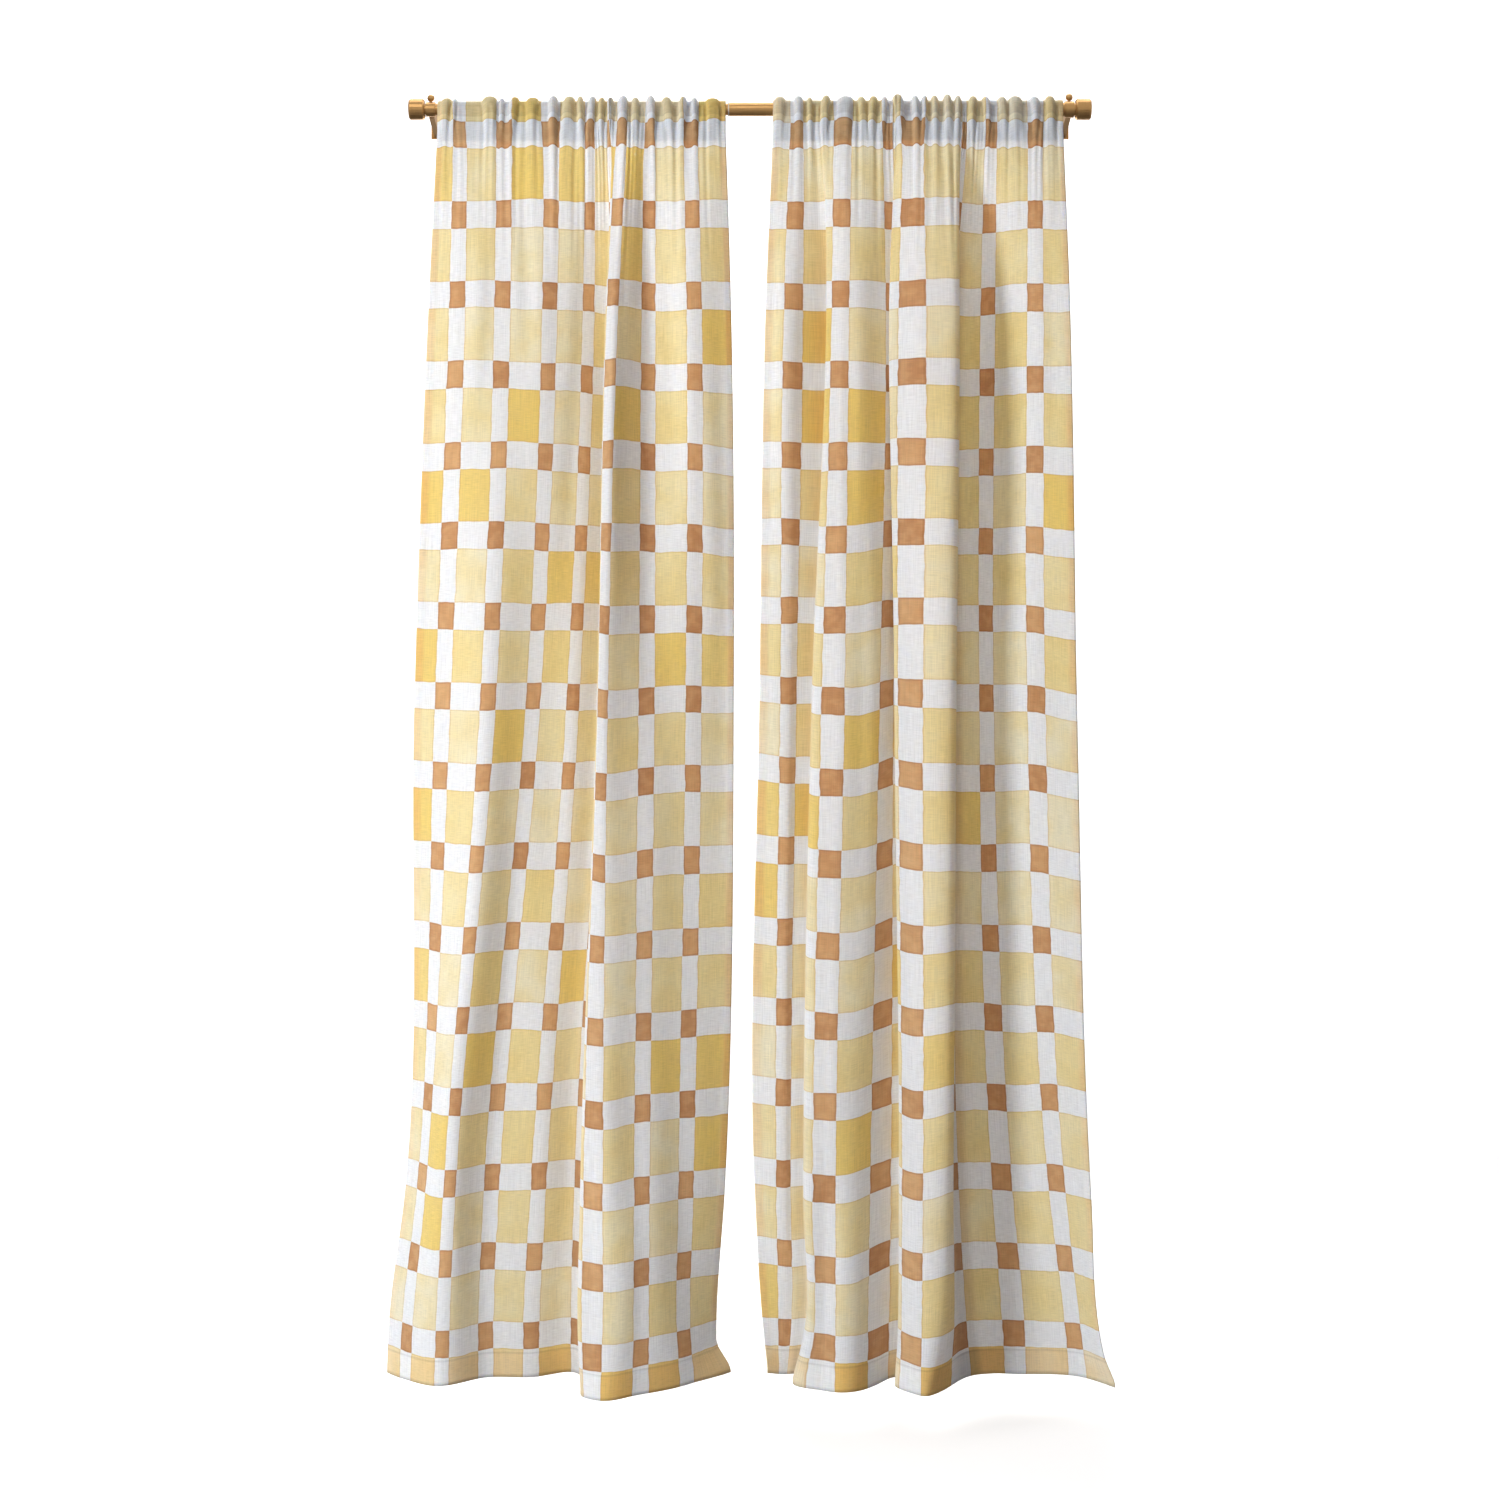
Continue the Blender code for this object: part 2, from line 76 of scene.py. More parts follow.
# The gathers in the heading, in millimetres
PINCH_WIDTH = 0.86  # of the width in the tables, because its sides are steep here
PINCH_SWELL = 0.17  # how far a pinch's sides bulge, as a share of half its width
PINCH_LEAN = 7.0  # the most that a pinch leans between the rod's top and the pocket's seam
AXIS_LEVEL = 0.4  # the share of the lean that is reached at the rod's axis
RIPPLE_SHARE = 0.28  # of a pinch's height, which runs on below the pocket
SWAY = 3.4  # how far the gathers push the threads sideways
SWAYS = 4
SWAY_SPACING = (46.0, 130.0)
FINE_GATHERS = 5
FINE_SPACING = (10.5, 19.0)
FINE_REACH = (160.0, 420.0)
WAVES = 9  # slight ones, all over the cloth below the heading

# Where something sets in (IN) or dies away (OUT), in millimetres below the rod's axis
DROP_IN = (500.0, 1100.0)
PINCHES_OUT = (4.0, 52.0)
RIPPLES_OUT = (50.0, 300.0)
SWAY_OUT = (6.0, 110.0)
CRUMPLE_IN = (70.0, 260.0)
ROWS_IN = (200.0, 900.0)
ROWS_OUT = (1930.0, 2058.0)
ROW_LIFT_OUT = (20.0, 190.0)
HEADING_ROWS_OUT = (15.0, 120.0)

# The rows of the print
ROW_LIFT = 0.62  # of a pinch's height, by which it lifts them
ROW_LEVEL = 0.6  # the level of a pinch that they follow
HEADING_ROWS = 4.5  # how much lower they lie in the heading, in millimetres

# The mesh
CROSSWISE_STEPS = 296
TURN_WEIGHT = 0.35  # how much a turn draws threads together, beside the distance along the cloth

# Heights of the tables' columns, below the rod's axis
STATIONS = (40.0, 300.0, 970.0, 1800.0, 2020.0, 2095.0)

# One row for each vertical thread that a fold or a column of squares follows. "flat" is its place
# on the flat cloth, from the left edge. "across" is from the rod's middle and "forward" from the
# rod's axis towards the room, at the heights in STATIONS. "drop" is how much lower it hangs, and
# "rows" is how much lower the print's rows lie on it, half-way down and low down.
LEFT_THREADS = (
    dict(name="left edge", flat=0, drop=-4, rows=(-4, -2),
         across=(-514, -529, -557, -577, -604, -607), forward=(15, 0, -26, -58, -60, -60)),
    dict(name="first column", flat=50, drop=0, rows=(-4, -2),
         across=(-476, -481, -508, -547, -570, -573), forward=(16, 12, -10, -26, -28, -30)),
    dict(name="side crest", flat=132, drop=0, rows=(-3, 2),
         across=(-404, -407, -430, -495, -506, -508), forward=(16, 12, 18, 20, 16, 14)),
    dict(name="third column", flat=214, drop=-6, rows=(0, 1),
         across=(-326, -329, -358, -429, -438, -438), forward=(16, 8, -12, -14, -18, -20)),
    dict(name="valley", flat=296, drop=-3, rows=(-1, 0),
         across=(-262, -267, -294, -352, -364, -365), forward=(15, -18, -30, -24, -30, -32)),
    dict(name="fifth column", flat=378, drop=-3, rows=(-1, 0),
         across=(-234, -222, -240, -284, -290, -290), forward=(15, -36, -52, -50, -56, -58)),
    dict(name="turn behind", flat=405, drop=2, rows=(-1, 0),
         across=(-228, -212, -226, -267, -275, -276), forward=(15, -28, -36, -34, -38, -40)),
    dict(name="front edge", flat=441, drop=10, rows=(-1, 3),
         across=(-223, -235, -250, -277, -279, -275), forward=(17, 24, 36, 38, 40, 38)),
    dict(name="front crest", flat=460, drop=12, rows=(-1, 4),
         across=(-210, -223, -241, -255, -256, -257), forward=(20, 33, 43, 50, 52, 52)),
    dict(name="seventh column", flat=542, drop=6, rows=(-1, 3),
         across=(-166, -168, -170, -177, -178, -179), forward=(16, -4, 14, 36, 42, 42)),
    dict(name="eighth column", flat=624, drop=-2, rows=(3, 8),
         across=(-98, -92, -93, -106, -109, -104), forward=(18, 12, -8, 6, 12, 14)),
    dict(name="right edge", flat=697, drop=-13, rows=(13, 18),
         across=(-40, -32, -27, -42, -56, -56), forward=(15, -8, -28, -26, -32, -30)),
)
RIGHT_THREADS = (
    dict(name="left edge", flat=0, drop=-10, rows=(-10, -3),
         across=(38, 27, 16, 8, 21, 29), forward=(15, -4, -16, -34, -34, -32)),
    dict(name="first column", flat=50, drop=-6, rows=(-9, -3),
         across=(78, 72, 65, 58, 59, 56), forward=(16, 4, -10, -28, -36, -40)),
    dict(name="beside the valley", flat=70, drop=-6, rows=(-9, -3),
         across=(91, 92, 80, 70, 71, 64), forward=(16, -6, -17, -32, -37, -42)),
    dict(name="first valley", flat=94, drop=-6, rows=(-7, -3),
         across=(113, 131, 107, 94, 95, 83), forward=(15, -16, -22, -30, -34, -38)),
    dict(name="second fold's edge", flat=112, drop=-1, rows=(2, 3),
         across=(123, 126, 102, 88, 89, 71), forward=(17, 6, 8, 8, 6, -2)),
    dict(name="second column", flat=146, drop=4, rows=(3, 4),
         across=(152, 149, 139, 124, 124, 121), forward=(18, 22, 24, 26, 26, 26)),
    dict(name="second crest", flat=184, drop=4, rows=(2, 3),
         across=(185, 183, 175, 160, 160, 158), forward=(17, 20, 20, 28, 34, 38)),
    dict(name="third column", flat=242, drop=0, rows=(-9, -8),
         across=(227, 237, 227, 214, 210, 209), forward=(15, -16, -12, -4, 0, 4)),
    dict(name="second valley", flat=261, drop=-4, rows=(-9, -8),
         across=(234, 247, 240, 236, 233, 231), forward=(15, -25, -32, -22, -22, -20)),
    dict(name="beyond the valley", flat=288, drop=-6, rows=(-9, -8),
         across=(240, 231, 255, 262, 260, 257), forward=(15, -6, -27, -20, -22, -20)),
    dict(name="third fold's edge", flat=312, drop=-1, rows=(-12, -5),
         across=(246, 236, 238, 245, 243, 239), forward=(16, 8, 5, 12, 12, 14)),
    dict(name="third crest", flat=338, drop=4, rows=(-12, -2),
         across=(266, 266, 263, 266, 265, 265), forward=(20, 24, 27, 34, 38, 42)),
    dict(name="third fold's end", flat=406, drop=2, rows=(-6, -11),
         across=(341, 344, 338, 331, 326, 317), forward=(18, 18, 27, 32, 32, 30)),
    dict(name="behind its end", flat=434, drop=-4, rows=(2, 0),
         across=(352, 336, 334, 338, 347, 350), forward=(15, -18, -15, -12, -14, -14)),
    dict(name="recess", flat=490, drop=-4, rows=(3, 2),
         across=(375, 370, 368, 381, 396, 403), forward=(15, -50, -48, -46, -48, -50)),
    dict(name="sixth column", flat=530, drop=-4, rows=(3, 6),
         across=(395, 397, 394, 422, 440, 443), forward=(15, -46, -46, -48, -50, -50)),
    dict(name="seventh column", flat=626, drop=-4, rows=(5, 2),
         across=(469, 472, 474, 511, 538, 546), forward=(17, -8, -14, -22, -30, -34)),
    dict(name="right edge", flat=699, drop=2, rows=(13, 4),
         across=(515, 527, 539, 562, 577, 592), forward=(15, 4, 4, 10, 4, 14)),
)

# One row for each pinch of the gathered pocket
LEFT_PINCHES = (
    dict(at=-499, width=18, height=5), dict(at=-486, width=8, height=4),
    dict(at=-429, width=30, height=8), dict(at=-409, width=10, height=5),
    dict(at=-387, width=16, height=7), dict(at=-358, width=24, height=6),
    dict(at=-324, width=18, height=9), dict(at=-297, width=22, height=8),
    dict(at=-280, width=12, height=8), dict(at=-259, width=14, height=8),
    dict(at=-244, width=12, height=6), dict(at=-230, width=12, height=6),
    dict(at=-209, width=18, height=9), dict(at=-189, width=14, height=6),
    dict(at=-164, width=16, height=9), dict(at=-138, width=18, height=7),
    dict(at=-110, width=14, height=8), dict(at=-92, width=12, height=6),
    dict(at=-62, width=26, height=5),
)
RIGHT_PINCHES = (
    dict(at=50, width=20, height=6), dict(at=80, width=18, height=7),
    dict(at=98, width=10, height=5), dict(at=126, width=16, height=8),
    dict(at=158, width=32, height=7), dict(at=183, width=14, height=6),
    dict(at=204, width=16, height=7), dict(at=222, width=12, height=6),
    dict(at=243, width=20, height=10), dict(at=272, width=14, height=8),
    dict(at=288, width=12, height=8), dict(at=304, width=14, height=8),
    dict(at=325, width=16, height=10), dict(at=343, width=12, height=8),
    dict(at=368, width=16, height=7), dict(at=388, width=14, height=6),
    dict(at=415, width=16, height=6), dict(at=437, width=26, height=7),
    dict(at=468, width=18, height=6), dict(at=494, width=18, height=7),
)

# One row for each soft crease: its middle on the flat cloth, its depth there below the rod's axis,
# how far it reaches to each side, how long it is, how far it stands out, and how far sideways its
# lower end lies.
LEFT_CREASES = (
    dict(flat=88, depth=330, width=26, length=620, height=3.0, lean=-10),
    dict(flat=172, depth=250, width=22, length=520, height=-3.0, lean=8),
    dict(flat=250, depth=420, width=30, length=900, height=3.0, lean=-14),
    dict(flat=342, depth=800, width=24, length=1100, height=-3.0, lean=10),
    dict(flat=504, depth=300, width=22, length=560, height=3.5, lean=-8),
    dict(flat=585, depth=380, width=26, length=760, height=-3.0, lean=10),
    dict(flat=655, depth=700, width=26, length=1200, height=2.5, lean=6),
    dict(flat=95, depth=1700, width=40, length=700, height=3.0, lean=-20),
    dict(flat=180, depth=1850, width=36, length=460, height=-3.0, lean=14),
    dict(flat=520, depth=1900, width=34, length=380, height=2.5, lean=-12),
)
RIGHT_CREASES = (
    dict(flat=30, depth=400, width=22, length=760, height=2.5, lean=6),
    dict(flat=70, depth=1200, width=26, length=1300, height=-3.0, lean=-8),
    dict(flat=165, depth=500, width=20, length=800, height=-2.5, lean=6),
    dict(flat=212, depth=900, width=24, length=1400, height=2.5, lean=8),
    dict(flat=370, depth=420, width=26, length=760, height=-3.0, lean=-6),
    dict(flat=510, depth=500, width=24, length=900, height=3.0, lean=8),
    dict(flat=575, depth=320, width=28, length=600, height=3.0, lean=-8),
    dict(flat=660, depth=420, width=26, length=760, height=-3.0, lean=8),
    dict(flat=600, depth=1750, width=44, length=640, height=3.0, lean=18),
    dict(flat=150, depth=1880, width=30, length=420, height=-2.5, lean=-10),
)

# The print, in millimetres: two kinds of column and two kinds of row cross each other. The last
# setting of each print is the middle and the reach of each strip that lies behind a fold, which is
# painted darker as painted shade, since less light comes through there.
FIRST_COLUMN = 50.0
FIRST_ROW = 42.5
ROW_PITCH = 132.75
SHORT_ROW = 45.0
COLUMN_WOBBLE = 3.0
ROW_WOBBLE = 2.4
WIDE_ROW_WOBBLE = 7.0
LEFT_PRINT = dict(pitch=82.0, narrow=28.0, last=7.0, seed=3.0, fold_shade_strips=((388.0, 44.0),))
RIGHT_PRINT = dict(
    pitch=96.0, narrow=33.0, last=6.0, seed=11.0, fold_shade_strips=((94.0, 26.0), (448.0, 32.0))
)

# The stitches, in millimetres
STITCH_MEASURES = dict(Pitch=4.5, Length=3.4, Thickness=0.55)
STITCH_SEED = 5  # of the lengths of single stitches
STITCH_UNEVENNESS = (0.85, 1.1)  # of the length
STITCH_LIFT = 0.05  # off the cloth's back
POCKET_SEAM = POCKET_LENGTH - 2.0
HEM_SEAM = CLOTH_LENGTH - HEM_HEIGHT + 2.6
SIDE_SEAM = SIDE_HEM_WIDTH - 3.0

# The studio, in metres
FLOOR_BELOW = 0.035  # the curtain's lowest point
FLOOR_REACH = 15.0
WALL_AT = 3.4
WALL_HEIGHT = 5.0
WALL_BEND = 1.4  # the radius of the bend between floor and wall
BEND_STEPS = 12
SHELL_RADIUS = 14.0
SHELL_MIDDLE = -2.3
SHELL_START = -0.06 * math.pi  # as an angle above the middle's level
SHELL_REACH = 0.56 * math.pi
SHELL_RINGS = 14
SHELL_STEPS = 32
BACKDROP_GLOW = 0.5
SHELL_GLOW = 0.55

# Each light's place and aim in metres, its size, its power in watts and its colour
LIGHTS = (
    dict(name="left key", place=(-2.8, -2.5, -1.0), aim=(0.3, 0.0, -1.2), size=(0.9, 1.2),
         power=129.0, colour=(0.98, 0.99, 1.0)),
    dict(name="right key", place=(3.9, -2.7, 0.7), aim=(0.5265, -0.085, -0.75), size=(1.6, 1.6),
         power=3.0, colour=(1.0, 0.94, 1.0)),
    dict(name="low fill", place=(0.2, -2.2, -2.0), aim=(0.5, 0.0, -1.75), size=(1.6, 0.6),
         power=7.0, colour=(1.0, 0.99, 0.98)),
    dict(name="heading fill", place=(0.0, -2.0, 0.9), aim=(0.5, 0.0, 0.0), size=(1.4, 0.5),
         power=9.0, colour=(1.0, 0.99, 0.98)),
    dict(name="glow from behind", place=(0.5, 2.0, -0.45), aim=(0.5, 0.0, -0.8), size=(1.6, 1.4),
         power=36.0, colour=(1.0, 0.97, 0.92)),
    dict(name="wall wash", place=(0.5, 0.6, 2.2), aim=(0.5, 3.4, -0.6), size=(4.0, 1.2),
         power=120.0, colour=(1.0, 1.0, 1.0)),
)
WORLD_COLOUR = (0.97, 0.94, 1.0, 1.0)
WORLD_STRENGTH = 0.15

CAMERA_PLACE = (0.5265, -4.085, -1.0568)
CAMERA_SENSOR = 36.0
CAMERA_LENS = 58.18


def smooth_curve(knots, values, at):
    """Cubic through the values, whose slope at each knot is that of its two neighbours."""
    knots = np.asarray(knots, float)
    values = np.asarray(values, float)
    slopes = np.gradient(values, knots, axis=0)
    at = np.clip(np.asarray(at, float), knots[0], knots[-1])
    span = np.clip(np.searchsorted(knots, at, side="right") - 1, 0, len(knots) - 2)
    length = knots[span + 1] - knots[span]
    t = (at - knots[span]) / length
    shape = (-1,) + (1,) * (values.ndim - 1)
    t, length = t.reshape(shape), length.reshape(shape)
    start, end = values[span], values[span + 1]
    return (
        (2 * t**3 - 3 * t**2 + 1) * start
        + (t**3 - 2 * t**2 + t) * length * slopes[span]
        + (3 * t**2 - 2 * t**3) * end
        + (t**3 - t**2) * length * slopes[span + 1]
    )


def ramp(value, start, end):
    t = np.clip((value - start) / (end - start), 0.0, 1.0)
    return t * t * (3 - 2 * t)


def ruffle(pinches, leans, across, level):
    """How far the pinches stand off the rod, and how far their sides bulge. A pinch leans as the
    level goes from 0 at the rod's top to 1 at the pocket's seam."""
    height = np.zeros_like(across)
    drawn = np.zeros_like(across)
    for pinch, lean in zip(pinches, leans):
        half = PINCH_WIDTH * 0.5 * pinch["width"]
        t = np.clip((across - pinch["at"] - lean * level) / half, -1.0, 1.0)
        own = pinch["height"] * np.cos(0.5 * math.pi * t)
        drawn = np.where(own > height, PINCH_SWELL * half * np.sin(math.pi * t), drawn)
        height = np.maximum(height, own)
    return height, drawn


def points(across, forward, up):
    """Points in metres in the part's frame, from millimetres off the rod's middle and axis."""
    up = np.broadcast_to(up, across.shape)
    forward = np.broadcast_to(forward, across.shape)
    return np.stack(
        ((across + BRACKET_FROM_MIDDLE) * MM, -(ROD_FROM_WALL + forward) * MM, up * MM), axis=1
    )


def add_object(name, data):
    thing = bpy.data.objects.new(name, data)
    bpy.context.scene.collection.objects.link(thing)
    return thing


class Drape:
    """The cloth's middle surface, read from its tables of threads, pinches and creases."""

    def __init__(self, threads, pinches, creases, tube_radius, flare, seed):
        self.flat = np.array([row["flat"] for row in threads], float)
        self.across_table = np.array([row["across"] for row in threads], float).T
        self.forward_table = np.array([row["forward"] for row in threads], float).T
        self.drop_table = np.array([row["drop"] for row in threads], float)
        self.rows_table = np.array([row["rows"] for row in threads], float).T
        self.width = self.flat[-1]
        self.pinches = pinches
        self.creases = creases
        self.loop_radius = tube_radius + POCKET_CLEARANCE
        self.flare = flare
        draw = np.random.default_rng(seed)
        self.leans = draw.uniform(-PINCH_LEAN, PINCH_LEAN, len(pinches))
        self.sways = [
            dict(
                crosswise=2 * math.pi / draw.uniform(*SWAY_SPACING),
                start=draw.uniform(0.0, 6.3),
            )
            for _ in range(SWAYS)
        ]
        self.waves = [
            dict(
                crosswise=draw.uniform(0.02, 0.09),
                lengthwise=draw.uniform(-0.012, 0.012),
                start=draw.uniform(0.0, 2 * math.pi),
                height=draw.uniform(0.25, 0.6),
            )
            for _ in range(WAVES)
        ]
        self.fine = [
            dict(
                crosswise=2 * math.pi / draw.uniform(*FINE_SPACING),
                start=draw.uniform(0.0, 2 * math.pi),
                height=draw.uniform(0.25, 0.45),
                reach=draw.uniform(*FINE_REACH),
            )
            for _ in range(FINE_GATHERS)
        ]

    def inside(self, flat, margin):
        """0 at both side edges and 1 beyond the margin from them."""
        return ramp(flat, 0.0, margin) * ramp(self.width - flat, 0.0, margin)

    def table_row(self, table, flat, depth):
        """A table's values for the threads at one depth."""
        return smooth_curve(self.flat, smooth_curve(STATIONS, table, [depth])[0], flat)

    def fine_gathers(self, flat, depth):
        """Small wrinkles that run down from the heading and die away."""
        total = np.zeros_like(flat)
        for gather in self.fine:
            reach = 1.0 - ramp(depth, 20.0, gather["reach"])
            phase = gather["crosswise"] * flat + gather["start"]
            total += gather["height"] * reach * np.sin(phase)
        return total * self.inside(flat, 16.0)

    def crumple(self, flat, depth):
        """Soft creases and a slight waviness, which leave the pocket alone."""
        total = np.zeros_like(flat)
        for crease in self.creases:
            along = (depth - crease["depth"]) / (0.5 * crease["length"])
            if abs(along) < 1.0:
                middle = crease["flat"] + crease["lean"] * along
                side = np.clip((flat - middle) / crease["width"], -1.0, 1.0)
                share = math.cos(0.5 * math.pi * along) ** 2
                total += crease["height"] * share * np.cos(0.5 * math.pi * side) ** 2
        for wave in self.waves:
            phase = wave["crosswise"] * flat + wave["lengthwise"] * depth + wave["start"]
            total += wave["height"] * np.sin(phase)
        return total * ramp(depth, *CRUMPLE_IN)

    def gathers(self, flat, depth, level):
        """Across of the threads in the heading, how far they stand out, and how far a pinch's
        sides bulge."""
        across = self.table_row(self.across_table, flat, depth)
        free = self.inside(flat, 30.0)
        swing = sum(np.sin(sway["crosswise"] * flat + sway["start"]) for sway in self.sways)
        across = across + SWAY * 0.5 * swing * free * (1.0 - ramp(depth, *SWAY_OUT))
        height, drawn = ruffle(self.pinches, self.leans, across, level)
        return across, height, drawn

    def section(self, flat, depth):
        """Across and forward of the threads at one depth below the rod's axis."""
        level = AXIS_LEVEL + (1.0 - AXIS_LEVEL) * min(depth / POCKET_LENGTH, 1.0)
        across, height, drawn = self.gathers(flat, depth, level)
        forward = self.table_row(self.forward_table, flat, depth)
        hugging = 1.0 - ramp(depth, 0.0, STATIONS[0])
        forward = forward + hugging * (self.loop_radius - forward)
        pinch = (1.0 - RIPPLE_SHARE) * (1.0 - ramp(depth, *PINCHES_OUT))
        ripple = RIPPLE_SHARE * (1.0 - ramp(depth, *RIPPLES_OUT))
        forward = forward + height * (pinch + ripple)
        share = ramp(depth, CLOTH_LENGTH - 1.3 * HEM_HEIGHT, CLOTH_LENGTH)
        across = across + self.flare * share * ramp(flat, self.width - FLARE_WIDTH, self.width)
        forward = forward + self.crumple(flat, depth) + self.fine_gathers(flat, depth)
        return across + drawn * (pinch + ripple), forward

    def lift(self, flat, depth):
        """How far the print's rows lie above their own height at one depth. The pinches lift
        them, and the hang of the cloth moves them."""
        _, height, _ = self.gathers(flat, max(depth, 0.0), ROW_LEVEL)
        lifted = ROW_LIFT * height * (1.0 - ramp(depth, *ROW_LIFT_OUT))
        low = ramp(depth, STATIONS[2], STATIONS[3])
        lowered = smooth_curve(
            self.flat, (1.0 - low) * self.rows_table[0] + low * self.rows_table[1], flat
        )
        share = ramp(depth, *ROWS_IN) * (1.0 - ramp(depth, *ROWS_OUT))
        in_heading = 1.0 - ramp(depth, *HEADING_ROWS_OUT)
        return lifted - lowered * share - HEADING_ROWS * in_heading

    def front_row(self, flat, depth):
        """One row of the front layer."""
        across, forward = self.section(flat, depth)
        drop = smooth_curve(self.flat, self.drop_table, flat) * ramp(depth, *DROP_IN)
        return points(across, forward, -depth - drop)

    def loop_row(self, flat, angle):
        """One row over the rod. The angle is 0 in front of its axis and pi behind it."""
        level = AXIS_LEVEL * abs(1.0 - 2.0 * angle / math.pi)
        across, height, drawn = self.gathers(flat, 0.0, level)
        radius = self.loop_radius + height
        return points(across + drawn, radius * math.cos(angle), radius * math.sin(angle))

    def back_row(self, flat, height):
        """The turned-back layer, which runs in to the front layer at the pocket's seam."""
        across, front = self.section(flat, -height)
        _, pinched, _ = self.gathers(flat, -height, AXIS_LEVEL)
        drawn_in = ramp(-height, 0.0, POCKET_LENGTH)
        behind = -(self.loop_radius + 0.85 * pinched)
        return points(across, behind + drawn_in * (front - SEAM_STEP - behind), height)

    def crosswise_threads(self, steps):
        """Threads for the mesh, closer together where the cloth is gathered or turns."""
        fine = np.linspace(0.0, self.width, 2800)
        spread = np.zeros_like(fine)
        for depth in (0.0, STATIONS[1], STATIONS[-1]):
            across, forward = self.section(fine, depth)
            step = np.hypot(np.gradient(across), np.gradient(forward))
            heading = np.unwrap(np.arctan2(np.gradient(forward), np.gradient(across)))
            turn = np.abs(np.gradient(heading))
            spread += 0.5 / len(fine) + step / step.sum() + TURN_WEIGHT * turn / turn.sum()
        run = np.concatenate(([0.0], np.cumsum(0.5 * (spread[1:] + spread[:-1]))))
        return np.interp(np.linspace(0.0, run[-1], steps + 1), run, fine)


def sheet_rows(drape, flat):
    """Rows of the cloth from the turned-back layer's end, over the rod, to the bottom edge, each
    with its place along the cloth's length."""
    over = math.pi * drape.loop_radius
    rows = []
    lifted = drape.lift(flat, 0.0)
    for height in np.linspace(-POCKET_LENGTH, -4.0, 12):
        rows.append((drape.back_row(flat, height), over - height - lifted))
    for angle in np.radians(np.linspace(172.0, 8.0, 15)):
        rows.append((drape.loop_row(flat, angle), drape.loop_radius * angle - lifted))
    hem_top = CLOTH_LENGTH - HEM_HEIGHT
    # The rows are closer together in the heading, where the cloth bends most.
    depths = np.concatenate((
        np.linspace(0.0, 64.0, 14),
        np.linspace(76.0, 320.0, 20),
        np.linspace(342.0, hem_top - 12.0, 80),
        (hem_top - 1.2, hem_top + 1.2),
        np.linspace(hem_top + 8.0, CLOTH_LENGTH, 6),
    ))
    for depth in depths:
        rows.append((drape.front_row(flat, depth), -depth - drape.lift(flat, depth)))
    return rows


def make_sheet(name, drape, finish):
    """The thin cloth, with both of its faces and its hems."""
    flat = drape.crosswise_threads(CROSSWISE_STEPS)
    rows = sheet_rows(drape, flat)
    count = len(flat)
    corners = np.concatenate([row for row, _ in rows])
    faces = [
        (i * count + j, i * count + j + 1, (i + 1) * count + j + 1, (i + 1) * count + j)
        for i in range(len(rows) - 1)
        for j in range(count - 1)
    ]
    mesh = bpy.data.meshes.new(name)
    mesh.from_pydata(corners.tolist(), [], faces)
    mesh.shade_smooth()
    mesh.materials.append(finish)
    along = np.concatenate([length for _, length in rows])
    across = np.tile(flat, len(rows))
    chart = mesh.uv_layers.new(name="cloth")
    corner_of = np.empty(len(mesh.loops), int)
    mesh.loops.foreach_get("vertex_index", corner_of)
    chart.data.foreach_set(
        "uv", np.stack((across[corner_of], along[corner_of]), axis=1).ravel() * MM
    )
    cloth = add_object(name, mesh)

    group = cloth.vertex_groups.new(name="thickness")
    hem_top = CLOTH_LENGTH - HEM_HEIGHT
    inward = np.minimum(across, drape.width - across)
    side = 1.0 - ramp(inward, SIDE_HEM_WIDTH - HEM_BLEND, SIDE_HEM_WIDTH + HEM_BLEND)
    bottom = ramp(-along, hem_top - HEM_BLEND, hem_top + HEM_BLEND)
    share = SHEET_THICKNESS / HEM_THICKNESS
    weights = share + (1.0 - share) * np.maximum(side, bottom)
    for index, weight in enumerate(weights):
        group.add([index], float(weight), "REPLACE")
    skin = cloth.modifiers.new("thickness", "SOLIDIFY")
    skin.thickness = HEM_THICKNESS * MM
    skin.offset = 0.0
    skin.vertex_group = group.name
    return plain_mesh(cloth)


def plain_mesh(thing):
    """Replaces an object's mesh with the one that its modifiers make."""
    bpy.context.view_layer.update()
    graph = bpy.context.evaluated_depsgraph_get()
    made = bpy.data.meshes.new_from_object(
        thing.evaluated_get(graph), preserve_all_data_layers=True, depsgraph=graph
    )
    thing.modifiers.clear()
    made.name = thing.name
    thing.data = made
    return thing


